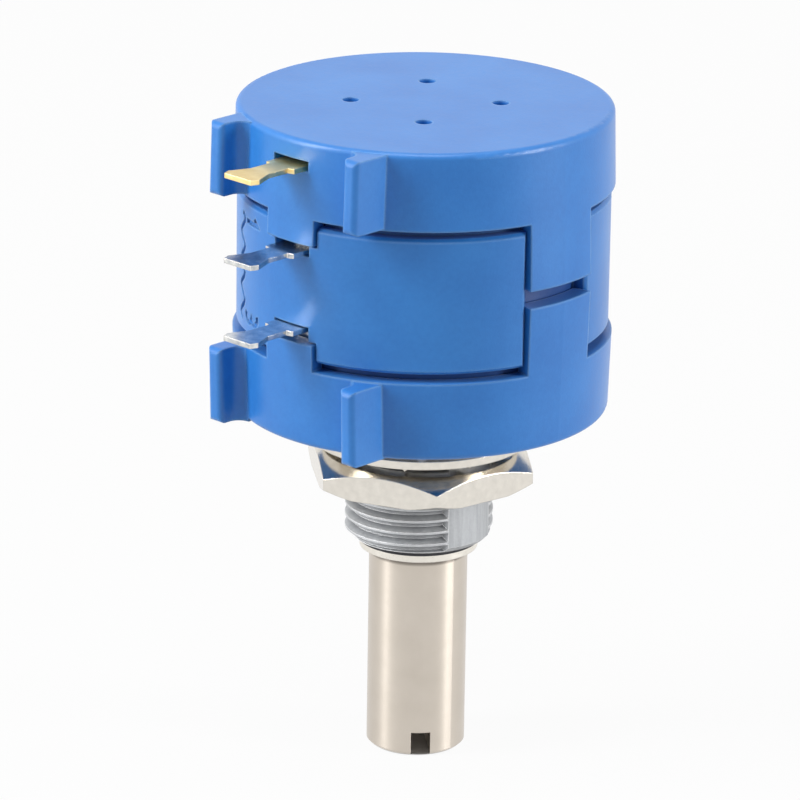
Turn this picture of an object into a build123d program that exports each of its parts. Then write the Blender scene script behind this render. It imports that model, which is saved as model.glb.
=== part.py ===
# Multi-turn wirewound potentiometer with a panel bushing, a slotted shaft and three solder lugs.
#
# Millimetres. The origin lies on the shaft's axis in the plane of the front face, the plastic face
# that seats against a panel. +Z points from that face to the rear disc, so the bushing and the
# shaft point along -Z. The solder lugs stick out along -Y. Azimuths are counted from -Y towards +X.

import os
from math import cos, degrees, radians, sin, sqrt, tan

from build123d import *

os.makedirs("parts", exist_ok=True)

# Shaft, with its screwdriver slot and the flat that drives the rotor
shaft_radius = 3.0
shaft_tip = 21.95
shaft_edge = 0.15
shaft_slot_width = 1.18
shaft_slot_depth = 1.45
shaft_slot_azimuth = 50.1
drive_flat_depth = 0.55
running_clearance = 0.03

# Bushing of die-cast metal with a fine thread
thread_radius = 4.5
thread_pitch = 0.75
thread_depth = 0.44
thread_root_flat = 0.12
thread_flank_angle = 30.0
thread_relief = 0.05
thread_overcut = 0.06
thread_run_in = 0.42
thread_run_out = 0.25
bushing_length = 8.38
bushing_chamfer = 0.33
bushing_neck_length = 0.6
bushing_hub_wall = 0.7
bushing_hub_setback = 0.1
bushing_flange_overhang = 1.8
bushing_flange_thickness = 0.65
parting_strip_half_width = 1.75

# Hexagon nut and lock washer
nut_across_flats = 12.7
nut_top = 2.87
nut_thickness = 1.87
nut_chamfer_radius = 6.0
nut_chamfer_angle = 30.0
nut_corner_azimuth = 52.0
nut_lower_chamfer_radius = 6.6
nut_bore_chamfer = 0.2
hexagon_half_angle = 30.0
washer_thickness = 0.5
washer_middle = 1.94
washer_outer_radius = 6.66
washer_ring_width = 1.06
tooth_count = 9
tooth_width = 1.7
tooth_twist = 36.0
tooth_clearance = 0.12
tooth_overlap = 0.15

# Retaining ring and shim at the end of the bushing
ring_thickness = 0.45
ring_width = 1.0
ring_groove_depth = 0.4
ring_groove_play = 0.1
ring_opening = 80.0
ring_azimuth = 225.0
shim_width = 0.7
shim_thickness = 0.33

# Rotor, its end cap, the carriage in its groove and the wiping contacts
thrust_washer_thickness = 0.4
thrust_washer_width = 1.2
rotor_hub_wall = 1.3
rotor_end_wall = 0.6
groove_half_width = 1.3
groove_depth = 1.2
groove_lip = 1.0
groove_neck_half_width = 0.9
carriage_clearance = 0.05
carriage_half_height = 1.0
carriage_head_gap = 0.1
carriage_head_half_width = 1.6
carriage_head_thickness = 1.15
follower_radius = 0.28
follower_clearance = 0.05
collector_thickness = 0.12
collector_half_width = 0.5
slip_ring_bore = 1.4
slip_ring_thickness = 0.4
contact_thickness = 0.2
contact_reach = 0.57
contact_ball_radius = 0.22
contact_ball_azimuth = 10.0
contact_clearance = 0.02
contact_leg_half_width = 0.3
contact_plate_height = 0.4
contact_plate_drop = 0.7
contact_arm_width = 0.6
brush_thickness = 0.15
brush_half_width = 0.5
brush_height = 0.87

# Resistance element, a left-hand coil with ten turns between its end taps
element_pitch = 1.0
element_turns = 10
element_wire_radius = 0.38
element_clearance = 0.02
element_spare_turn = 0.25
tap_radius = 0.22

# Middle housing around the element
housing_wall = 0.95
housing_clearance = 0.1
panel_thickness = 0.91
panel_gap = 0.5
panel_bevel = 0.2
window_side_gap = 0.08
window_hairline = 0.05
strap_groove_depth = 0.5
strap_half_width = 0.75
strap_clearance = 0.06
strap_overlap = 0.5

# Blue covers
cover_wall = 0.9
mould_draft = 1.65
front_floor = 1.2
rear_roof = 1.19
front_rim = 4.75
rear_rim_drop = 4.66
case_edge_fillet = 0.35
seat_recess_width = 2.2
seat_recess_depth = 0.15
dimple_radius = 0.5
dimple_depth = 0.45
dimple_circle = 4.45
dimple_azimuth = 42.6

# Tabs that reach from the covers into the windows between them
side_tab_half_angle = 13.0
side_tab_height = 4.16
side_tab_slot = 1.04
lug_tab_half_width = 1.87
front_lug_tab_height = 1.61
rear_lug_tab_height = 1.57
lug_tab_gap = 0.12

# Pairs of fins on the covers, on both sides of the lugs
fin_outer_side = 6.05
fin_thickness = 1.1
fin_reach = 0.75
fin_corner = 0.38
fin_root_radius = 0.8
fin_rim_gap = 0.1
fin_top_gap = 0.12

# Solder lugs
lug_thickness = 0.3
lug_reach = 4.3
lug_tip_width = 2.55
lug_tip_length = 0.5
lug_tip_chamfer = 0.18
lug_flare_length = 1.3
lug_neck_width = 1.5
lug_root_width = 2.3
lug_shoulder_reach = 0.85
lug_shoulder_slope = 0.12
lug_opening_margin = 0.25
lug_slot_clearance = 0.06
lug_headroom = 0.32
rear_lug_drop = 0.41
front_lug_rise = 0.92

# Marks moulded into the housing beside the lugs: two terminal numbers and a resistor line
number_stroke = 0.3
wave_stroke = 0.3
mark_depth = 0.18
number_height = 1.5
number_width = 0.7
number_bulge = 0.43
number_azimuth = -21.3
number_inset = 1.15
wave_azimuth = -29.0
wave_depth = 0.7
wave_count = 4

# Places worked out from the shaft outwards
thread_root = thread_radius - thread_depth
hub_radius = thread_radius + bushing_hub_wall
flange_radius = hub_radius + bushing_flange_overhang
seat_recess_radius = hub_radius + seat_recess_width
shaft_bore = shaft_radius + running_clearance
groove_floor = shaft_radius + rotor_hub_wall
groove_neck_start = groove_floor + groove_depth
rotor_radius = groove_neck_start + groove_lip
head_start = rotor_radius + carriage_head_gap
carriage_face = head_start + carriage_head_thickness
element_crest = carriage_face + contact_thickness + contact_reach
element_radius = element_crest + element_wire_radius
housing_bore = element_radius + element_wire_radius + element_clearance
housing_radius = housing_bore + housing_wall
cover_bore = housing_radius + housing_clearance
body_radius = cover_bore + cover_wall
panel_radius = housing_radius + panel_thickness
fin_end = body_radius + fin_reach
lug_end = body_radius + lug_reach
strap_floor = housing_radius - strap_groove_depth
washer_bore = washer_outer_radius - washer_ring_width

# Places worked out from the front face to the rear disc
bushing_top = front_floor + bushing_flange_thickness
rotor_bottom = bushing_top + running_clearance + thrust_washer_thickness
travel = element_turns * element_pitch
carriage_low = rotor_bottom + rotor_end_wall + carriage_clearance + carriage_half_height
carriage_rest = carriage_low + travel / 2
rotor_body_top = carriage_low + travel + carriage_half_height + carriage_clearance
rotor_top = rotor_body_top + rotor_end_wall
slip_ring_top = rotor_top + slip_ring_thickness
wiper_lug_bottom = slip_ring_top + brush_height
roof_inside = wiper_lug_bottom + lug_thickness + lug_headroom
body_height = roof_inside + rear_roof
rear_rim = body_height - rear_rim_drop
front_tab_top = front_rim + side_tab_height
rear_tab_bottom = front_tab_top + side_tab_slot
front_lug_tab_top = front_rim + front_lug_tab_height
rear_lug_tab_bottom = rear_rim - rear_lug_tab_height
front_lug_top = front_lug_tab_top + front_lug_rise
rear_lug_top = rear_lug_tab_bottom - rear_lug_drop
panel_bottom = front_rim + panel_gap
panel_top = rear_rim - panel_gap
front_tap = carriage_rest - travel / 2 + element_pitch / 2
rear_tap = carriage_rest + travel / 2 + element_pitch / 2
draft_slope = tan(radians(mould_draft))

# Places worked out from the front face to the shaft's tip
shim_top = -bushing_length - running_clearance
ring_top = shim_top - shim_thickness
ring_bottom = ring_top - ring_thickness

# Azimuths of the windows between the tabs
front_window = 90.0 - side_tab_half_angle
back_window_start = 90.0 + side_tab_half_angle
back_window_end = 180.0 - side_tab_half_angle
side_gap_angle = degrees(window_side_gap / panel_radius)
hairline_angle = degrees(window_hairline / panel_radius)
lug_tab_angle = degrees(lug_tab_half_width / body_radius)
lug_notch_angle = lug_tab_angle + degrees(lug_tab_gap / body_radius)
clear_of_body = body_radius + lug_reach


def compass(radius, azimuth, height=0.0):
    """The point at a radius, an azimuth counted from -Y towards +X, and a height."""
    turn = radians(azimuth)
    return (radius * sin(turn), -radius * cos(turn), height)


def ring_sector(inner, outer, start, end):
    """Adds a ring's sector between two azimuths to the sketch that is open."""
    with BuildLine() as outline:
        inner_arc = CenterArc((0, 0), inner, start - 90, end - start)
        outer_arc = CenterArc((0, 0), outer, start - 90, end - start)
        Line(inner_arc @ 0, outer_arc @ 0)
        Line(inner_arc @ 1, outer_arc @ 1)
    make_face(outline.edges())


def ring(inner, outer):
    """Adds a full ring to the sketch that is open."""
    Circle(outer)
    Circle(inner, mode=Mode.SUBTRACT)


def shape(points):
    """Adds a closed straight-sided outline to the sketch that is open."""
    with BuildLine() as outline:
        Polyline(*points, close=True)
    make_face(outline.edges())


def block(half_width, near, far, low, high, mode=Mode.ADD):
    """Adds a block to the part that is open, from y = -near to y = -far."""
    with BuildSketch(Plane.XY.offset(low)) as plan:
        with Locations((0, -(near + far) / 2)):
            Rectangle(2 * half_width, far - near)
    extrude(plan.sketch, amount=high - low, mode=mode)


def save(part, name):
    """Labels a finished piece and writes it to its file."""
    part.label = name
    export_step(part, f"parts/{name}.step")
    print(f"{name:20s} {len(part.solids())} solid, {part.volume:9.3f} mm3")


def lug_outline(root):
    """Adds a solder lug's plan to the open sketch, from its tip to a root at y = -root."""
    shoulder = body_radius + lug_shoulder_reach
    half_outline = [
        (lug_root_width / 2, -root),
        (lug_root_width / 2, -shoulder),
        (lug_neck_width / 2, -shoulder - lug_shoulder_slope),
        (lug_neck_width / 2, -lug_end + lug_tip_length + lug_flare_length),
        (lug_tip_width / 2, -lug_end + lug_tip_length),
        (lug_tip_width / 2 - lug_tip_chamfer, -lug_end),
    ]
    shape(half_outline + [(-x, y) for x, y in reversed(half_outline)])


def fin_pair(flat_height, rim_height):
    """Makes a cover's two fins from its flat end to its rim, drafted as its wall and blended in."""
    rim_end = fin_end + abs(rim_height - flat_height) * draft_slope
    inner_side = fin_outer_side - fin_thickness
    buried = cover_bore + cover_wall / 2
    foot_x = inner_side - fin_root_radius
    foot_y = -sqrt(body_radius**2 - foot_x**2)
    with BuildPart() as fins:
        with BuildSketch(Plane.XY.offset(flat_height)):
            with BuildLine():
                side = Line((fin_outer_side, -sqrt(buried**2 - fin_outer_side**2)),
                            (fin_outer_side, -rim_end))
                end = Line(side @ 1, (inner_side, -rim_end))
                inner = Line(end @ 1, (inner_side, foot_y - fin_root_radius))
                blend = RadiusArc(inner @ 1, (foot_x, foot_y), -fin_root_radius)
                sunk = Line(blend @ 1, (foot_x, -sqrt(buried**2 - foot_x**2)))
                Line(sunk @ 1, side @ 0)
            make_face()
        extrude(amount=rim_height - flat_height)
        with BuildSketch(Plane.YZ):
            shape([
                (0, flat_height),
                (-fin_end, flat_height),
                (-rim_end, rim_height),
                (0, rim_height),
            ])
        extrude(amount=rim_end, mode=Mode.INTERSECT)
        fillet(fins.faces().sort_by(Axis.Y)[0].edges(), fin_corner)
        mirror(about=Plane.YZ)
    return fins.part


def thread_cutter(low, high):
    """Makes the helical body that a thread's groove leaves empty, without the parting strips."""
    mouth_width = thread_root_flat + 2 * (thread_depth + thread_overcut) * tan(radians(thread_flank_angle))
    with BuildPart() as cutter:
        with BuildLine() as path:
            Helix(pitch=thread_pitch, height=high - low, radius=thread_radius, center=(0, 0, low))
        with BuildSketch(Plane(origin=path.line @ 0, x_dir=(1, 0, 0), z_dir=path.line % 0)):
            shape([
                (-thread_depth, -thread_root_flat / 2),
                (thread_overcut, -mouth_width / 2),
                (thread_overcut, mouth_width / 2),
                (-thread_depth, thread_root_flat / 2),
            ])
        sweep(path=path.line, is_frenet=True)
        with BuildSketch(Plane.XY.offset(low - thread_pitch)):
            with Locations((-thread_radius, 0), (thread_radius, 0)):
                Rectangle(thread_radius, 2 * parting_strip_half_width)
        extrude(amount=high - low + 2 * thread_pitch, mode=Mode.SUBTRACT)
    return cutter.part


# Front cover: a cup whose rim carries the tabs, open in the windows between them
with BuildPart() as front_lid:
    with BuildSketch(Plane.XZ):
        shape([
            (hub_radius, seat_recess_depth),
            (seat_recess_radius, seat_recess_depth),
            (seat_recess_radius, 0),
            (body_radius, 0),
            (body_radius + front_tab_top * draft_slope, front_tab_top),
            (cover_bore, front_tab_top),
            (cover_bore, front_floor),
            (hub_radius, front_floor),
        ])
    revolve(axis=Axis.Z)
    front_outline = front_lid.edges().filter_by(GeomType.CIRCLE).group_by(Axis.Z)[0]
    fillet(front_outline.sort_by(SortBy.RADIUS)[-1], case_edge_fillet)
    with BuildSketch(Plane.XY.offset(front_rim)):
        ring_sector(cover_bore - cover_wall, clear_of_body, -front_window, -lug_tab_angle)
        ring_sector(cover_bore - cover_wall, clear_of_body, lug_tab_angle, front_window)
        ring_sector(cover_bore - cover_wall, clear_of_body, back_window_start, back_window_end)
        ring_sector(cover_bore - cover_wall, clear_of_body, -back_window_end, -back_window_start)
    extrude(amount=side_tab_height, mode=Mode.SUBTRACT)
    with BuildSketch(Plane.XY.offset(front_lug_tab_top)):
        ring_sector(cover_bore - cover_wall, clear_of_body, -lug_tab_angle, lug_tab_angle)
    extrude(amount=side_tab_height, mode=Mode.SUBTRACT)
    add(fin_pair(0, front_rim - fin_rim_gap))
save(front_lid.part, "front_lid")

# Rear cover: the disc with four dimples, its rim, tabs and fins, and the slot of the wiper's lug
with BuildPart() as rear_lid:
    with BuildSketch(Plane.XZ):
        shape([
            (0, roof_inside),
            (cover_bore, roof_inside),
            (cover_bore, rear_tab_bottom),
            (body_radius + (body_height - rear_tab_bottom) * draft_slope, rear_tab_bottom),
            (body_radius, body_height),
            (0, body_height),
        ])
    revolve(axis=Axis.Z)
    rear_outline = rear_lid.edges().filter_by(GeomType.CIRCLE).group_by(Axis.Z)[-1]
    fillet(rear_outline.sort_by(SortBy.RADIUS)[-1], case_edge_fillet)
    with BuildSketch(Plane.XY.offset(rear_rim)):
        ring_sector(cover_bore - cover_wall, clear_of_body, -front_window, -lug_tab_angle)
        ring_sector(cover_bore - cover_wall, clear_of_body, lug_tab_angle, front_window)
        ring_sector(cover_bore - cover_wall, clear_of_body, back_window_start, back_window_end)
        ring_sector(cover_bore - cover_wall, clear_of_body, -back_window_end, -back_window_start)
    extrude(amount=rear_tab_bottom - rear_rim, mode=Mode.SUBTRACT)
    with BuildSketch(Plane.XY.offset(rear_lug_tab_bottom)):
        ring_sector(cover_bore - cover_wall, clear_of_body, -lug_tab_angle, lug_tab_angle)
    extrude(amount=rear_tab_bottom - rear_lug_tab_bottom, mode=Mode.SUBTRACT)
    add(fin_pair(body_height - fin_top_gap, rear_rim + fin_rim_gap))
    block(lug_root_width / 2 + lug_opening_margin, housing_bore, fin_end,
          wiper_lug_bottom, roof_inside, Mode.SUBTRACT)
    with BuildSketch(Plane.XY.offset(body_height)):
        with PolarLocations(dimple_circle, 4, dimple_azimuth):
            Circle(dimple_radius)
    extrude(amount=-dimple_depth, mode=Mode.SUBTRACT)
save(rear_lid.part, "rear_lid")

# Middle housing: a tube around the element, with the panels that fill the windows
with BuildPart() as element_housing:
    with BuildSketch(Plane.XY.offset(panel_bottom)):
        ring_sector(housing_bore, panel_radius, side_gap_angle - front_window,
                    front_window - side_gap_angle)
        ring_sector(housing_bore, panel_radius, back_window_start + hairline_angle,
                    back_window_end - hairline_angle)
        ring_sector(housing_bore, panel_radius, hairline_angle - back_window_end,
                    -back_window_start - hairline_angle)
    extrude(amount=panel_top - panel_bottom)
    outer_faces = element_housing.faces().filter_by(GeomType.CYLINDER).group_by(SortBy.AREA)
    panel_faces = [face for group in outer_faces for face in group if face.radius > housing_radius]
    chamfer([edge for face in panel_faces for edge in face.edges()], panel_bevel)
    with BuildSketch(Plane.XY.offset(front_floor)):
        ring(housing_bore, housing_radius)
    extrude(amount=roof_inside - front_floor)
    with BuildSketch(Plane.XY.offset(rear_lug_tab_bottom - lug_tab_gap)):
        ring_sector(housing_radius, clear_of_body, -lug_notch_angle, lug_notch_angle)
    extrude(amount=body_height, mode=Mode.SUBTRACT)
    with BuildSketch(Plane.XY.offset(front_lug_tab_top + lug_tab_gap)):
        ring_sector(housing_radius, clear_of_body, -lug_notch_angle, lug_notch_angle)
    extrude(amount=-body_height, mode=Mode.SUBTRACT)
    opening = lug_root_width / 2 + lug_opening_margin
    block(opening, strap_floor, clear_of_body, rear_lug_top - lug_thickness - lug_slot_clearance,
          rear_lug_tab_bottom, Mode.SUBTRACT)
    block(opening, strap_floor, clear_of_body, front_lug_tab_top,
          front_lug_top + lug_slot_clearance, Mode.SUBTRACT)
    groove = strap_half_width + strap_clearance
    block(groove, strap_floor, clear_of_body, rear_lug_top, rear_tap + strap_overlap + strap_clearance,
          Mode.SUBTRACT)
    block(groove, strap_floor, clear_of_body, front_tap - strap_overlap - strap_clearance, front_lug_top,
          Mode.SUBTRACT)
    block(groove, 0, clear_of_body, wiper_lug_bottom - strap_clearance, roof_inside, Mode.SUBTRACT)
    with Locations(Plane.XZ):
        with Locations((0, rear_tap), (0, front_tap)):
            Cylinder(tap_radius, clear_of_body, align=(Align.CENTER, Align.CENTER, Align.MIN),
                     mode=Mode.SUBTRACT)
    for height, is_three in ((panel_top - number_inset, False), (panel_bottom + number_inset, True)):
        turn = radians(number_azimuth)
        face_plane = Plane(origin=compass(panel_radius - mark_depth, number_azimuth, height),
                           x_dir=(0, 0, -1), z_dir=(sin(turn), -cos(turn), 0))
        with BuildSketch(face_plane):
            with BuildLine() as strokes:
                if is_three:
                    upper = SagittaArc((-number_width / 2, number_height / 2), (0, 0), number_bulge)
                    SagittaArc(upper @ 1, (-number_width / 2, -number_height / 2), number_bulge)
                else:
                    stem = Line((0, -number_height / 2), (0, number_height / 2))
                    Line(stem @ 1, (-number_width / 2, number_height / 2 - number_width / 2))
            trace(strokes.line, number_stroke)
        extrude(amount=2 * mark_depth, mode=Mode.SUBTRACT)
    turn = radians(wave_azimuth)
    wave_plane = Plane(origin=compass(panel_radius - mark_depth, wave_azimuth, panel_bottom),
                       x_dir=(cos(turn), sin(turn), 0), z_dir=(sin(turn), -cos(turn), 0))
    wave_step = (panel_top - panel_bottom) / (2 * wave_count + 2)
    wave_points = [(0, wave_step)]
    for index in range(2 * wave_count):
        side = wave_depth / 2 if index % 2 else -wave_depth / 2
        wave_points.append((side, wave_step * (1 + index + 1 / 2)))
    wave_points.append((0, wave_step * (2 * wave_count + 1)))
    with BuildSketch(wave_plane):
        with BuildLine() as wave:
            Spline(*wave_points)
        trace(wave.line, wave_stroke)
    extrude(amount=2 * mark_depth, mode=Mode.SUBTRACT)
save(element_housing.part, "element_housing")

# Resistance element: one round coil, left-handed, that fits the housing's bore
with BuildPart() as resistance_element:
    with BuildLine() as coil:
        Helix(
            pitch=element_pitch,
            height=travel + 2 * element_spare_turn * element_pitch,
            radius=element_radius,
            center=(0, 0, front_tap - element_spare_turn * element_pitch),
            lefthand=True,
        )
    with BuildSketch(Plane(origin=coil.line @ 0, z_dir=coil.line % 0)):
        Circle(element_wire_radius)
    sweep(path=coil.line, is_frenet=True)
save(resistance_element.part, "resistance_element")

# Taps that join the element's last turns to the straps of the two end terminals
for name, height in (("end_tap_1", rear_tap), ("end_tap_3", front_tap)):
    with BuildPart() as end_tap:
        with BuildSketch(Plane.XZ.offset(element_radius + element_wire_radius + element_clearance / 2)):
            with Locations((0, height)):
                Circle(tap_radius)
        extrude(amount=strap_floor - housing_bore + element_clearance / 2)
    save(end_tap.part, name)

# End terminals: a lug that leaves the case and a strap bent along the housing to the tap
for name, top, strap_low, strap_high in (
    ("terminal_1", rear_lug_top, rear_lug_top - lug_thickness, rear_tap + strap_overlap),
    ("terminal_3", front_lug_top, front_tap - strap_overlap, front_lug_top),
):
    with BuildPart() as terminal:
        with BuildSketch(Plane.XY.offset(top - lug_thickness)):
            lug_outline(strap_floor)
        extrude(amount=lug_thickness)
        block(strap_half_width, strap_floor, strap_floor + lug_thickness, strap_low, strap_high)
    save(terminal.part, name)

# Wiper terminal: a lug that runs inwards over the slip ring
with BuildPart() as terminal_2:
    with BuildSketch(Plane.XY.offset(wiper_lug_bottom)):
        lug_outline(housing_radius + housing_clearance)
        with Locations((0, -housing_radius / 2)):
            Rectangle(2 * strap_half_width, housing_radius + 2 * housing_clearance + lug_thickness)
    extrude(amount=lug_thickness)
save(terminal_2.part, "terminal_2")

# Spring brush under the wiper terminal, which bears on the slip ring
with BuildPart() as collector_brush:
    brush_top = wiper_lug_bottom - brush_thickness / 2
    brush_touch = slip_ring_top + contact_clearance + brush_thickness / 2
    with BuildSketch(Plane.YZ.offset(-brush_half_width)):
        with BuildLine() as brush_path:
            Polyline(
                (-rotor_radius, brush_top),
                (-groove_neck_start, brush_top),
                (-shaft_radius, brush_touch),
                (-shaft_radius + brush_half_width, brush_touch),
                (-slip_ring_bore, brush_touch + brush_thickness),
            )
        trace(brush_path.line, brush_thickness)
    extrude(amount=2 * brush_half_width)
save(collector_brush.part, "collector_brush")

# Bushing: threaded barrel, neck, hub in the front cover's hole and flange behind its floor
with BuildPart() as bushing:
    with BuildSketch(Plane.XZ):
        shape([
            (shaft_bore, -bushing_length),
            (thread_radius - bushing_chamfer, -bushing_length),
            (thread_radius, -bushing_length + bushing_chamfer),
            (thread_radius, -bushing_neck_length),
            (thread_root - thread_relief, -bushing_neck_length),
            (thread_root - thread_relief, bushing_hub_setback),
            (hub_radius, bushing_hub_setback),
            (hub_radius, front_floor),
            (flange_radius, front_floor),
            (flange_radius, bushing_top),
            (shaft_bore, bushing_top),
        ])
    revolve(axis=Axis.Z)
    thread_groove = thread_cutter(
        low=-bushing_length - thread_run_in,
        high=thread_run_out - bushing_neck_length,
    )
    add(thread_groove, mode=Mode.SUBTRACT)
save(bushing.part, "bushing")

# Hexagon nut, chamfered on both sides, most on the panel's, with a plain bore that clears the thread
with BuildPart() as hex_nut:
    nut_bottom = nut_top + nut_thickness
    corner_radius = nut_across_flats / 2 / cos(radians(hexagon_half_angle))
    chamfer_slope = tan(radians(nut_chamfer_angle))
    upper_drop = (corner_radius - nut_chamfer_radius) * chamfer_slope
    lower_drop = (corner_radius - nut_lower_chamfer_radius) * chamfer_slope
    with BuildSketch(Plane.XY.offset(-nut_bottom)):
        RegularPolygon(corner_radius, 6, rotation=nut_corner_azimuth - 90)
    extrude(amount=nut_thickness)
    with BuildSketch(Plane.XZ):
        shape([
            (0, -nut_top),
            (nut_chamfer_radius, -nut_top),
            (corner_radius, -nut_top - upper_drop),
            (corner_radius, -nut_bottom + lower_drop),
            (nut_lower_chamfer_radius, -nut_bottom),
            (0, -nut_bottom),
        ])
    revolve(axis=Axis.Z, mode=Mode.INTERSECT)
    nut_bore = thread_radius + running_clearance
    with BuildSketch(Plane.XZ):
        shape([
            (0, -nut_top),
            (nut_bore + nut_bore_chamfer, -nut_top),
            (nut_bore, -nut_top - nut_bore_chamfer),
            (nut_bore, -nut_bottom + nut_bore_chamfer),
            (nut_bore + nut_bore_chamfer, -nut_bottom),
            (0, -nut_bottom),
        ])
    revolve(axis=Axis.Z, mode=Mode.SUBTRACT)
save(hex_nut.part, "hex_nut")

# Lock washer with twisted teeth on its inner edge
with BuildPart() as lock_washer:
    with BuildSketch(Plane.XY.offset(-washer_middle - washer_thickness / 2)):
        ring(washer_bore, washer_outer_radius)
    extrude(amount=washer_thickness)
    tooth_tip_radius = thread_radius + tooth_clearance
    for index in range(tooth_count):
        azimuth = index * 360 / tooth_count
        turn = radians(azimuth)
        with BuildSketch(Plane(origin=compass(tooth_tip_radius, azimuth, -washer_middle),
                               x_dir=(cos(turn), sin(turn), 0), z_dir=(sin(turn), -cos(turn), 0))):
            Rectangle(tooth_width, washer_thickness, rotation=tooth_twist)
        extrude(amount=washer_bore + tooth_overlap - tooth_tip_radius)
    with BuildSketch(Plane.XY.offset(-washer_middle - tooth_width)):
        ring(tooth_tip_radius, washer_outer_radius)
    extrude(amount=2 * tooth_width, mode=Mode.INTERSECT)
save(lock_washer.part, "lock_washer")

# Shaft, from its slotted tip to the flat that drives the rotor
with BuildPart() as shaft:
    groove_radius = shaft_radius - ring_groove_depth
    with BuildSketch(Plane.XZ):
        shape([
            (0, -shaft_tip),
            (shaft_radius - shaft_edge, -shaft_tip),
            (shaft_radius, -shaft_tip + shaft_edge),
            (shaft_radius, ring_bottom - ring_groove_play),
            (groove_radius, ring_bottom - ring_groove_play),
            (groove_radius, ring_top),
            (shaft_radius, ring_top),
            (shaft_radius, rotor_body_top),
            (0, rotor_body_top),
        ])
    revolve(axis=Axis.Z)
    with BuildSketch(Plane.XY.offset(-shaft_tip)):
        Rectangle(shaft_slot_width, 4 * shaft_radius, rotation=shaft_slot_azimuth)
    extrude(amount=shaft_slot_depth, mode=Mode.SUBTRACT)
    with BuildSketch(Plane.XY.offset(rotor_bottom)):
        with Locations((0, 2 * shaft_radius - drive_flat_depth)):
            Rectangle(2 * shaft_radius, 2 * shaft_radius)
    extrude(amount=rotor_body_top - rotor_bottom, mode=Mode.SUBTRACT)
save(shaft.part, "shaft")

# Retaining ring in the shaft's groove, open on one side
with BuildPart() as retaining_ring:
    with BuildSketch(Plane.XY.offset(ring_bottom)):
        ring_sector(groove_radius, groove_radius + ring_width, ring_azimuth + ring_opening / 2,
                    ring_azimuth - ring_opening / 2 + 360)
    extrude(amount=ring_thickness)
save(retaining_ring.part, "retaining_ring")

# Shim between the retaining ring and the bushing's end
with BuildPart() as shim:
    with BuildSketch(Plane.XY.offset(ring_top)):
        ring(shaft_radius, shaft_radius + shim_width)
    extrude(amount=shim_thickness)
save(shim.part, "shim")

# Thrust washer between the bushing's inner end and the rotor
with BuildPart() as thrust_washer:
    with BuildSketch(Plane.XY.offset(rotor_bottom - thrust_washer_thickness)):
        ring(shaft_radius, shaft_radius + thrust_washer_width)
    extrude(amount=thrust_washer_thickness)
save(thrust_washer.part, "thrust_washer")

# Rotor: a drum on the shaft with an undercut groove that guides the carriage
with BuildPart() as rotor:
    with BuildSketch(Plane.XY.offset(rotor_bottom)):
        Circle(rotor_radius)
    extrude(amount=rotor_body_top - rotor_bottom)
    with BuildSketch(Plane.XY.offset(rotor_bottom)):
        Circle(shaft_radius)
        with Locations((0, 2 * shaft_radius - drive_flat_depth)):
            Rectangle(2 * shaft_radius, 2 * shaft_radius, mode=Mode.SUBTRACT)
    extrude(amount=rotor_body_top - rotor_bottom, mode=Mode.SUBTRACT)
    groove_bottom = rotor_bottom + rotor_end_wall
    block(groove_half_width, groove_floor, groove_neck_start, groove_bottom, rotor_body_top, Mode.SUBTRACT)
    block(groove_neck_half_width, groove_neck_start, rotor_radius + groove_lip, groove_bottom,
          rotor_body_top, Mode.SUBTRACT)
save(rotor.part, "rotor")

# Rotor cap, which closes the groove and carries the slip ring
with BuildPart() as rotor_cap:
    with BuildSketch(Plane.XY.offset(rotor_body_top)):
        Circle(rotor_radius)
    extrude(amount=rotor_end_wall)
    block(collector_half_width, groove_floor, groove_floor + collector_thickness, rotor_body_top,
          rotor_top, Mode.SUBTRACT)
save(rotor_cap.part, "rotor_cap")

# Collector rail on the groove's floor and the slip ring that it meets on the rotor's end
with BuildPart() as collector_rail:
    block(collector_half_width, groove_floor, groove_floor + collector_thickness, groove_bottom, rotor_top)
save(collector_rail.part, "collector_rail")

with BuildPart() as slip_ring:
    with BuildSketch(Plane.XY.offset(rotor_top)):
        ring(slip_ring_bore, groove_floor + 2 * collector_thickness)
    extrude(amount=slip_ring_thickness)
save(slip_ring.part, "slip_ring")

# Wiper contact: a plate on the carriage's face, a leg down to the rail and an arm with a ball
plate_low = carriage_rest - contact_plate_drop - contact_plate_height / 2
plate_high = plate_low + contact_plate_height
leg_low = carriage_rest - contact_plate_drop - contact_thickness / 2
leg_start = groove_floor + collector_thickness + contact_clearance
plate_face = carriage_face + contact_thickness
ball_radius_place = element_crest - contact_clearance - contact_ball_radius
ball_height = carriage_rest + element_pitch / 2 - element_pitch * contact_ball_azimuth / 360
ball_x, ball_y, ball_z = compass(ball_radius_place, contact_ball_azimuth, ball_height)
with BuildPart() as wiper_contact:
    block(contact_leg_half_width, leg_start, plate_face, leg_low, leg_low + contact_thickness)
    with BuildSketch(Plane.XZ.offset(carriage_face)):
        shape([
            (-2 * contact_leg_half_width, plate_low),
            (ball_x + contact_arm_width / 2, plate_low),
            (ball_x + contact_arm_width / 2, ball_z + contact_ball_radius),
            (ball_x - contact_arm_width / 2, ball_z + contact_ball_radius),
            (ball_x - contact_arm_width / 2, plate_high),
            (-2 * contact_leg_half_width, plate_high),
        ])
    extrude(amount=contact_thickness)
    with BuildSketch(Plane.XZ.offset(carriage_face)):
        with Locations((ball_x, ball_z)):
            Circle(contact_ball_radius)
    extrude(amount=-ball_y - carriage_face)
    with Locations((ball_x, ball_y, ball_z)):
        Sphere(contact_ball_radius)
save(wiper_contact.part, "wiper_contact")

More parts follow.
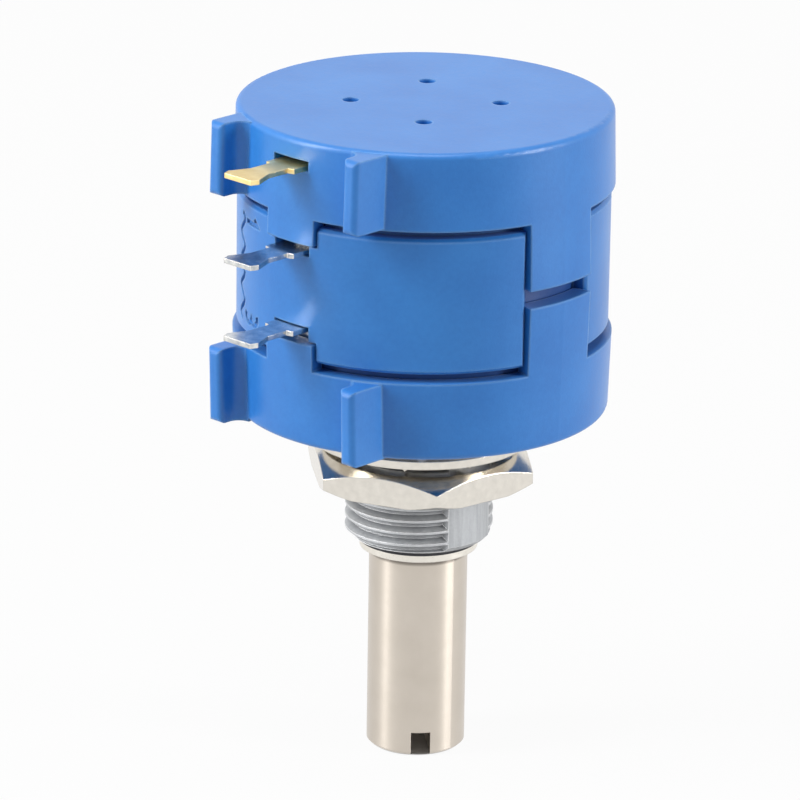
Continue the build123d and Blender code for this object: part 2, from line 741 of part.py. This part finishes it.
# Carriage: slides in the rotor's groove, led by a follower between two turns of the element
with BuildPart() as wiper_carriage:
    low = carriage_rest - carriage_half_height
    high = carriage_rest + carriage_half_height
    foot_start = groove_floor + collector_thickness + carriage_clearance
    block(groove_half_width - carriage_clearance, foot_start, groove_neck_start - carriage_clearance, low, high)
    block(groove_neck_half_width - carriage_clearance, foot_start, head_start, low, high)
    block(carriage_head_half_width, head_start, carriage_face, low, high)
    follower_place = element_radius - sqrt(
        (element_wire_radius + follower_radius + follower_clearance) ** 2 - (element_pitch / 2) ** 2
    )
    with BuildSketch(Plane.XZ.offset(head_start)):
        with Locations((0, carriage_rest)):
            Circle(follower_radius)
    extrude(amount=follower_place - head_start)
    with Locations((0, -follower_place, carriage_rest)):
        Sphere(follower_radius)
    block(contact_leg_half_width, leg_start, carriage_face, leg_low, leg_low + contact_thickness, Mode.SUBTRACT)
save(wiper_carriage.part, "wiper_carriage")

print(f"body height {body_height:.2f}, carriage rest {carriage_rest:.3f}")
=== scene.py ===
# Multi-turn wirewound potentiometer: blue plastic case, solder lugs, threaded bushing and slotted shaft
import math

import bpy
import numpy as np
from mathutils import Matrix, Vector


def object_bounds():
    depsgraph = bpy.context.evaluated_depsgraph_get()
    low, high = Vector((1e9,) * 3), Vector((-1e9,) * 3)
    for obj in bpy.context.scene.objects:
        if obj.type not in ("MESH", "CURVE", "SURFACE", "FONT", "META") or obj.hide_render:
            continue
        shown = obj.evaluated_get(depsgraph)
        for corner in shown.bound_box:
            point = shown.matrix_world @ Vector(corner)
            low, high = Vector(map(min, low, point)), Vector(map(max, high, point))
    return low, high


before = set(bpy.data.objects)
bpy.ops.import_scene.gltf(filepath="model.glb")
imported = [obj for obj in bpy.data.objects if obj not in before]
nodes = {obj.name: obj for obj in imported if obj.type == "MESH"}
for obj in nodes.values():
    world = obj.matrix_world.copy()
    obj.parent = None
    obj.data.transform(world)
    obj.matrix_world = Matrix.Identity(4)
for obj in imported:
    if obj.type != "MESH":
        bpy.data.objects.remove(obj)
cad_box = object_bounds()
mm = 0.001

# Camera: a long lens, a little above the rear disc's edge, that sees the lugs at the left.
# Its place is in metres from the shaft's axis in the plane of the seat, and its small turns
# frame the object as the photograph does.
camera_place = Vector((0.226124, -0.236622, 0.111641))
camera_turns = (("X", -0.00021), ("Y", 0.00362), ("Z", 0.01655))
camera_data = bpy.data.cameras.new("camera")
camera_data.lens = 258.0
camera_data.sensor_width = 36.0
camera_data.clip_start = 0.01
camera_data.clip_end = 20.0
camera = bpy.data.objects.new("camera", camera_data)
bpy.context.scene.collection.objects.link(camera)
aim = (-camera_place).to_track_quat("-Z", "Y").to_matrix()
for axis, angle in camera_turns:
    aim = aim @ Matrix.Rotation(angle, 3, axis)
camera.matrix_world = Matrix.Translation(camera_place) @ aim.to_4x4()
bpy.context.scene.camera = camera
bpy.context.scene.view_settings.view_transform = "Standard"


# Covers and middle housing: moulded in one blue plastic, with a fine satin grain from the mould
# and paler edges, partly wear and partly a painted highlight. The housing's tube has painted
# shade where it lies deep in the gaps between the panels and the covers.
class Wire:
    """One socket of a finish's nodes. An operator on it adds the Math node that works it out."""

    def __init__(self, finish, socket):
        self.finish = finish
        self.socket = socket

    def calculate(self, operation, *values):
        """The result of one Math node on the given values."""
        return self.finish.node("ShaderNodeMath", {"operation": operation}, dict(enumerate(values)))

    def size(self):
        """The value without its sign."""
        return self.calculate("ABSOLUTE", self)

    def __add__(self, other):
        return self.calculate("ADD", self, other)

    def __rsub__(self, other):
        return self.calculate("SUBTRACT", other, self)

    def __mul__(self, other):
        return self.calculate("MULTIPLY", self, other)

    __radd__ = __add__

    def between(self, low, high):
        """0 where the value is at or under low, 1 at or over high, and straight in between."""
        return self.finish.node("ShaderNodeMapRange", {"clamp": True},
                                {"Value": self, "From Min": low, "From Max": high})


class Finish:
    """A material that is built up node by node, with its shader's even values set directly."""

    def __init__(self, name, **even_values):
        self.material = bpy.data.materials.new(name)
        self.material.use_nodes = True
        self.tree = self.material.node_tree
        self.shader = self.tree.nodes["Principled BSDF"]
        self.place = self.node("ShaderNodeTexCoord", {}, {}, "Object")
        for socket, value in even_values.items():
            self.feed(socket.replace("_", " ").title().replace("Ior", "IOR"), value)

    def node(self, kind, settings, values, output=0):
        """Adds one node with its settings and its sockets' values, and returns one output."""
        node = self.tree.nodes.new(kind)
        for name, value in settings.items():
            setattr(node, name, value)
        for name, value in values.items():
            self.connect(node.inputs[name], value)
        return Wire(self, node.outputs[output])

    def connect(self, socket, value):
        """Gives a socket a wire or an even value."""
        if isinstance(value, Wire):
            self.tree.links.new(value.socket, socket)
        else:
            socket.default_value = value

    def feed(self, socket, value):
        """Gives one of the shader's own sockets a wire or an even value."""
        self.connect(self.shader.inputs[socket], value)

    def noise(self, size, detail=2.0, stretch=(1.0, 1.0, 1.0)):
        """Cloudy values from 0 to 1 whose patches are about size metres across."""
        place = self.node("ShaderNodeMapping", {}, {"Vector": self.place, "Scale": stretch})
        return self.node("ShaderNodeTexNoise", {"noise_dimensions": "3D"},
                         {"Vector": place, "Scale": 1.0 / size, "Detail": detail})

    def blend(self, amount, low_colour, high_colour):
        """A colour between two others, by an amount from 0 to 1."""
        amount_socket = 0
        low_socket = 6
        high_socket = 7
        colour_output = 2
        values = {amount_socket: amount, low_socket: low_colour, high_socket: high_colour}
        return self.node("ShaderNodeMix", {"data_type": "RGBA"}, values, colour_output)

    def distance_from_axis(self):
        """How far the surface lies from the shaft's axis, in metres."""
        flat_place = self.node("ShaderNodeVectorMath", {"operation": "MULTIPLY"},
                               {0: self.place, 1: (1.0, 1.0, 0.0)})
        return self.node("ShaderNodeVectorMath", {"operation": "LENGTH"}, {0: flat_place}, "Value")

    def place_along(self, axis):
        """The surface's place along X, Y or Z, in metres from the shaft's axis or the seat."""
        return self.node("ShaderNodeSeparateXYZ", {}, {"Vector": self.place}, axis)

    def soft_edges(self, radius):
        """The surface's direction with every sharp edge rounded by a radius, for light only."""
        return self.node("ShaderNodeBevel", {"samples": 4}, {"Radius": radius})

    def edge_amount(self, radius):
        """How far the rounded direction leans away from the real one: 0 on flats, up to 1 on edges."""
        full_lean = 0.12
        geometry = self.node("ShaderNodeNewGeometry", {}, {}, "Normal")
        lean = self.node("ShaderNodeVectorMath", {"operation": "DOT_PRODUCT"},
                         {0: self.soft_edges(radius), 1: geometry}, "Value")
        return (1.0 - lean).between(0.0, full_lean)

    def bump(self, height, depth, edge_radius=None):
        """Feeds the shader a relief, depth metres deep where height is 1, on rounded edges."""
        values = {"Height": height, "Distance": depth, "Strength": 1.0}
        if edge_radius is not None:
            values["Normal"] = self.soft_edges(edge_radius)
        self.feed("Normal", self.node("ShaderNodeBump", {}, values))

    def grained(self, grain, dark, light, roughness, spread, depth, edge_radius):
        """Lets one noise drive the colour, the roughness and the relief."""
        self.feed("Base Color", self.blend(grain, dark, light))
        self.feed("Roughness", roughness + grain * spread)
        self.bump(grain, depth, edge_radius)

    def dress(self, *names):
        """Puts the finish on CAD nodes."""
        for name in names:
            nodes[name].data.materials.clear()
            nodes[name].data.materials.append(self.material)


def colour(red, green, blue):
    """A colour from the 0 to 255 values a screen shows, as the linear values shaders take."""
    straight_end = 0.04045
    offset = 0.055
    shares = np.array([red, green, blue]) / 255.0
    straight = shares / 12.92
    curved = ((shares + offset) / (1.0 + offset)) ** 2.4
    linear = np.where(shares <= straight_end, straight, curved)
    return (*linear.tolist(), 1.0)


def blue_plastic(name, deep, light, painted_gap_shade):
    """The case's plastic: near blues in soft clouds, edges paler with wear and painted highlight, a
    fine grain and painted shade in the gaps.
    """
    worn_and_highlit_share = 0.5
    gap_floor = 10.3 * mm
    gap_top = 10.8 * mm
    gap_shade_strength = 0.75
    plastic = Finish(name, specular_ior_level=0.42, sheen_weight=0.12, sheen_roughness=0.35,
                     coat_weight=0.34, coat_roughness=0.22)
    clouds = plastic.noise(4.5 * mm, detail=4.0)
    mottle = plastic.noise(0.35 * mm, detail=3.0)
    body = plastic.blend((clouds * 0.7 + mottle * 0.3).between(0.35, 0.65), deep, light)
    if painted_gap_shade:
        # Painted shade: the housing's tube is darkened deep in the gaps between the panels and the
        # covers.
        gap_shade_mask = 1.0 - plastic.distance_from_axis().between(gap_floor, gap_top)
        body = plastic.blend(gap_shade_mask * gap_shade_strength, body, colour(8, 40, 104))
    # Paler edges, partly wear and partly painted highlight where the rounded direction leans away.
    worn_and_highlit_edge = plastic.edge_amount(0.22 * mm) * worn_and_highlit_share
    plastic.feed("Base Color", plastic.blend(worn_and_highlit_edge, body, colour(130, 182, 232)))
    plastic.feed("Roughness", 0.4 + mottle * 0.12)
    fine_grain = plastic.noise(0.12 * mm, detail=2.0)
    coarse_grain = plastic.noise(0.9 * mm, detail=2.0)
    plastic.bump(fine_grain * 0.6 + coarse_grain * 0.4, depth=0.012 * mm, edge_radius=0.2 * mm)
    return plastic


cover_plastic = blue_plastic("blue_cover_plastic", deep=colour(24, 109, 189),
                             light=colour(36, 120, 199), painted_gap_shade=False)
cover_plastic.dress("front_lid", "rear_lid")
housing_plastic = blue_plastic("blue_housing_plastic", deep=colour(24, 109, 187),
                               light=colour(36, 120, 197), painted_gap_shade=True)
housing_plastic.dress("element_housing")


# Resistance element and its two taps: fine resistance wire wound close around a copper core,
# so the coil shines in narrow rings across its length. It is pressed into the housing's bore.
turns_per_metre = 4000.0
rings_per_metre = 2500.0
winding = Finish("wound_resistance_wire", metallic=1.0)
rings = winding.node("ShaderNodeTexWave", {"wave_type": "RINGS", "rings_direction": "Z"},
                     {"Vector": winding.place, "Scale": rings_per_metre, "Distortion": 1.5,
                      "Detail": 1.0})
turns = winding.node("ShaderNodeTexWave", {"bands_direction": "DIAGONAL"},
                     {"Vector": winding.place, "Scale": turns_per_metre})
winding.feed("Base Color", winding.blend(turns, colour(150, 122, 84), colour(206, 182, 140)))
winding.feed("Roughness", 0.28 + rings * 0.2)
winding.bump(turns, depth=0.02 * mm)
winding.dress("resistance_element", "end_tap_1", "end_tap_3")

# End terminals: stamped from brass strip and tinned, so the faces are soft silver with a frosty
# bloom, and the cut edges are paler with a painted highlight.
sheared_edge = 0.08 * mm
rolling = (1.0, 0.06, 1.0)
tinned = Finish("tinned_strip", metallic=1.0)
bloom = tinned.noise(0.6 * mm, detail=5.0)
rolled = tinned.noise(0.2 * mm, detail=2.0, stretch=rolling)
frost = tinned.blend(bloom.between(0.35, 0.7), colour(186, 190, 194), colour(232, 232, 228))
# Painted highlight on the cut edges.
painted_cut_edge_highlight = tinned.edge_amount(sheared_edge)
tinned.feed("Base Color", tinned.blend(painted_cut_edge_highlight, frost, colour(244, 240, 232)))
tinned.feed("Roughness", 0.16 + bloom * 0.14)
tinned.bump(rolled * 0.7 + bloom * 0.3, depth=0.01 * mm, edge_radius=sheared_edge)
tinned.dress("terminal_1", "terminal_3")

# Wiper terminal: the same strip plated with gold, with a paler painted highlight on the sheared
# edges.
gilt = Finish("gold_plated_strip", metallic=1.0)
gilt_cloud = gilt.noise(0.7 * mm, detail=5.0)
gilt_rolled = gilt.noise(0.2 * mm, detail=2.0, stretch=rolling)
gilt_face = gilt.blend(gilt_cloud.between(0.3, 0.7), colour(236, 208, 140), colour(248, 226, 168))
# Painted highlight on the sheared edges.
gilt_painted_edge_highlight = gilt.edge_amount(sheared_edge)
gilt.feed("Base Color", gilt.blend(gilt_painted_edge_highlight, gilt_face, colour(250, 230, 180)))
gilt.feed("Roughness", 0.3 + gilt_cloud * 0.14)
gilt.bump(gilt_rolled * 0.7 + gilt_cloud * 0.3, depth=0.01 * mm, edge_radius=sheared_edge)
gilt.dress("terminal_2")

# Brush, rail, slip ring and wiper contact: hard spring brass, polished along the line where
# they slide on each other.
spring_brass = Finish("spring_brass", metallic=1.0)
polish = spring_brass.noise(0.4 * mm, detail=4.0, stretch=(1.0, 1.0, 0.1))
spring_brass.grained(polish, dark=colour(206, 162, 84), light=colour(236, 200, 128),
                     roughness=0.18, spread=0.2, depth=0.008 * mm, edge_radius=0.05 * mm)
spring_brass.dress("collector_brush", "collector_rail", "slip_ring", "wiper_contact")

# Bushing: die-cast zinc with a thread. The casting is grey and grainy with scratches drawn along
# it, duller on the two parting strips. The thread's crests carry a painted highlight, and its
# grooves and every face nearer the axis than their floor carry painted shade.
groove_floor = 4.05 * mm
groove_top = 4.4 * mm
groove_shade_strength = 0.45
strip_start = 4.1 * mm
strip_end = 4.18 * mm
cast_zinc = Finish("cast_zinc", metallic=1.0)
sand = cast_zinc.noise(0.22 * mm, detail=5.0)
stain = cast_zinc.noise(1.2 * mm, detail=3.0)
drawn = cast_zinc.noise(0.25 * mm, detail=3.0, stretch=(1.0, 1.0, 0.08))
casting = (sand * 0.3 + stain * 0.3 + drawn * 0.4).between(0.3, 0.7)
zinc_face = cast_zinc.blend(casting, colour(168, 170, 173), colour(204, 206, 208))
dull_zinc = cast_zinc.blend(drawn, colour(148, 150, 153), colour(186, 188, 190))
strip = cast_zinc.place_along("X").size().between(strip_start, strip_end)
zinc_skin = cast_zinc.blend(strip, zinc_face, dull_zinc)
# Painted shade in the thread's grooves and on faces nearer the axis, such as the bushing's end.
painted_groove_shade = 1.0 - cast_zinc.distance_from_axis().between(groove_floor, groove_top)
shaded_thread_skin = cast_zinc.blend(painted_groove_shade * groove_shade_strength, zinc_skin, colour(84, 86, 90))
# Painted highlight on the thread's crests.
painted_crest_highlight = cast_zinc.edge_amount(0.06 * mm)
cast_zinc.feed("Base Color", cast_zinc.blend(painted_crest_highlight, shaded_thread_skin, colour(240, 240, 240)))
cast_zinc.feed("Roughness", 0.54 + sand * 0.14)
cast_zinc.bump(sand * 0.6 + drawn * 0.4, depth=0.03 * mm, edge_radius=0.05 * mm)
cast_zinc.dress("bushing")

# Panel nut and lock washer: machined and stamped brass with bright nickel plating, a little
# cream in colour, with a very fine ripple and almost mirror faces.
nickel = Finish("bright_nickel", metallic=1.0)
haze = nickel.noise(0.5 * mm, detail=3.0)
ripple = nickel.noise(0.08 * mm, detail=1.0)
nickel.feed("Base Color", nickel.blend(haze, colour(214, 209, 200), colour(234, 229, 220)))
nickel.feed("Roughness", 0.12 + haze * 0.1)
nickel.bump(ripple, depth=0.0025 * mm, edge_radius=0.1 * mm)
nickel.dress("hex_nut", "lock_washer")

# Shaft: turned steel with satin nickel plating. Fine rings run round it, drawn out along the
# turning, and a thin dark line of painted shadow lies under the retaining ring.
shadow_line_start = -9.68 * mm
shadow_line_end = -9.52 * mm
satin_nickel = Finish("satin_nickel_shaft", metallic=1.0, anisotropic=0.7, anisotropic_rotation=0.25)
lathe = satin_nickel.noise(0.06 * mm, detail=3.0, stretch=(0.04, 0.04, 1.0))
wear = satin_nickel.noise(1.5 * mm, detail=4.0)
plating = satin_nickel.blend(wear, colour(198, 189, 177), colour(210, 201, 190))
# Painted shadow: a dark line on the shaft just under the retaining ring.
painted_shadow_line = satin_nickel.place_along("Z").between(shadow_line_start, shadow_line_end) * (0.35 + lathe * 0.6)
satin_nickel.feed("Base Color", satin_nickel.blend(painted_shadow_line, plating, colour(52, 44, 38)))
satin_nickel.feed("Roughness", 0.28 + lathe * 0.1)
satin_nickel.bump(lathe, depth=0.003 * mm, edge_radius=0.08 * mm)
satin_nickel.dress("shaft")

# Retaining ring: stamped spring steel, nickel plated, brushed on its flat faces.
ring_steel = Finish("ring_steel", metallic=1.0)
brushed = ring_steel.noise(0.15 * mm, detail=3.0, stretch=(1.0, 0.2, 1.0))
ring_steel.grained(brushed, dark=colour(222, 217, 207), light=colour(240, 235, 226),
                   roughness=0.22, spread=0.16, depth=0.004 * mm, edge_radius=0.08 * mm)
ring_steel.dress("retaining_ring")

# Shim and thrust washer: a real spacer, coloured near black, so the shim also stands in for the thin
# line of shade over the ring.
near_black_shim_steel = Finish("near_black_shim_steel", metallic=1.0)
shim_mottle = near_black_shim_steel.noise(0.6 * mm, detail=4.0)
# Near-black colour: partly painted shade in the gap between the bushing and the ring.
near_black_shim_steel.grained(shim_mottle, dark=colour(44, 44, 48), light=colour(78, 78, 80),
                    roughness=0.3, spread=0.2, depth=0.006 * mm, edge_radius=0.06 * mm)
near_black_shim_steel.dress("shim", "thrust_washer")

# Rotor and its cap: black moulded plastic with the mould's fine grain.
rotor_plastic = Finish("black_rotor_plastic")
rotor_grain = rotor_plastic.noise(0.2 * mm, detail=4.0)
rotor_plastic.grained(rotor_grain, dark=colour(26, 26, 29), light=colour(44, 44, 48),
                      roughness=0.42, spread=0.16, depth=0.02 * mm, edge_radius=0.1 * mm)
rotor_plastic.dress("rotor", "rotor_cap")

# Wiper carriage: white low-friction plastic, a little waxy and worn smooth where it slides.
carriage_plastic = Finish("white_carriage_plastic", subsurface_weight=0.1)
wax = carriage_plastic.noise(0.5 * mm, detail=4.0)
carriage_plastic.grained(wax, dark=colour(226, 223, 212), light=colour(240, 238, 230),
                         roughness=0.32, spread=0.2, depth=0.01 * mm, edge_radius=0.1 * mm)
carriage_plastic.dress("wiper_carriage")


# Studio: a wide white floor under the shaft's tip and a white room, which the camera, metal and
# glass see as plain white, but for the dark floor right under the shaft's foot. Two low soft
# boxes draw the bright lines along the shaft, with the key above the left one and one overhead.
def white_behind(material_tree):
    """1 for a ray from the camera or a mirror-like or clear surface, 0 for the light's own rays."""
    path = material_tree.nodes.new("ShaderNodeLightPath")
    total = path.outputs["Is Camera Ray"]
    for kind in ("Is Glossy Ray", "Is Transmission Ray"):
        either = material_tree.nodes.new("ShaderNodeMath")
        either.operation = "MAXIMUM"
        material_tree.links.new(total, either.inputs[0])
        material_tree.links.new(path.outputs[kind], either.inputs[1])
        total = either.outputs["Value"]
    return total


white = (1.0, 1.0, 1.0, 1.0)
floor_reach = 3.0
floor_gap = 0.1 * mm
floor_height = cad_box[0].z - floor_gap
floor_glow = 0.95
foot_end = 2.58 * mm
glow_start = 2.76 * mm
corners = [(-floor_reach, -floor_reach), (floor_reach, -floor_reach),
           (floor_reach, floor_reach), (-floor_reach, floor_reach)]
floor_mesh = bpy.data.meshes.new("floor")
floor_mesh.from_pydata([(x, y, floor_height) for x, y in corners], [], [(0, 1, 2, 3)])
floor = bpy.data.objects.new("floor", floor_mesh)
bpy.context.scene.collection.objects.link(floor)
white_floor = Finish("white_floor", roughness=0.9)
paper = white_floor.noise(50.0 * mm, detail=3.0)
paper_colour = white_floor.blend(paper, colour(186, 186, 186), colour(192, 192, 192))
white_floor.feed("Base Color", paper_colour)
glow = white_floor.node("ShaderNodeEmission", {}, {"Color": white, "Strength": 1.0})
beside_foot = white_floor.distance_from_axis().between(foot_end, glow_start)
seen = Wire(white_floor, white_behind(white_floor.tree)) * floor_glow * beside_foot
floor_mix = white_floor.node("ShaderNodeMixShader", {}, {0: seen, 2: glow})
floor_surface = white_floor.tree.nodes["Material Output"].inputs["Surface"]
white_floor.tree.links.new(white_floor.shader.outputs["BSDF"], floor_mix.socket.node.inputs[1])
white_floor.tree.links.new(floor_mix.socket, floor_surface)
floor_mesh.materials.append(white_floor.material)

room_light = 0.15
world = bpy.data.worlds.new("room")
bpy.context.scene.world = world
world.use_nodes = True
background = world.node_tree.nodes["Background"]
background.inputs["Color"].default_value = white
room_mix = world.node_tree.nodes.new("ShaderNodeMix")
room_mix.inputs["A"].default_value = room_light
room_mix.inputs["B"].default_value = 1.0
world.node_tree.links.new(white_behind(world.node_tree), room_mix.inputs["Factor"])
world.node_tree.links.new(room_mix.outputs["Result"], background.inputs["Strength"])


def soft_box(name, azimuth, elevation, distance, width, height, power):
    """A rectangular area light in a direction given in degrees, facing the middle of the object."""
    turn = math.radians(azimuth)
    rise = math.radians(elevation)
    level = math.cos(rise)
    direction = Vector((level * math.cos(turn), level * math.sin(turn), math.sin(rise)))
    place = distance * direction
    data = bpy.data.lights.new(name, "AREA")
    data.shape = "RECTANGLE"
    data.size = width
    data.size_y = height
    data.energy = power
    light = bpy.data.objects.new(name, data)
    bpy.context.scene.collection.objects.link(light)
    facing = place.to_track_quat("Z", "Y").to_matrix().to_4x4()
    light.matrix_world = Matrix.Translation(place) @ facing


soft_box("key", azimuth=-122.0, elevation=38.0, distance=0.55, width=0.16, height=0.24, power=1.9)
soft_box("left_box", azimuth=-122.0, elevation=13.0, distance=0.5, width=0.1, height=0.26, power=1.05)
soft_box("right_box", azimuth=29.0, elevation=13.0, distance=0.5, width=0.1, height=0.36, power=2.05)
soft_box("top_box", azimuth=-60.0, elevation=80.0, distance=0.55, width=0.3, height=0.3, power=1.5)
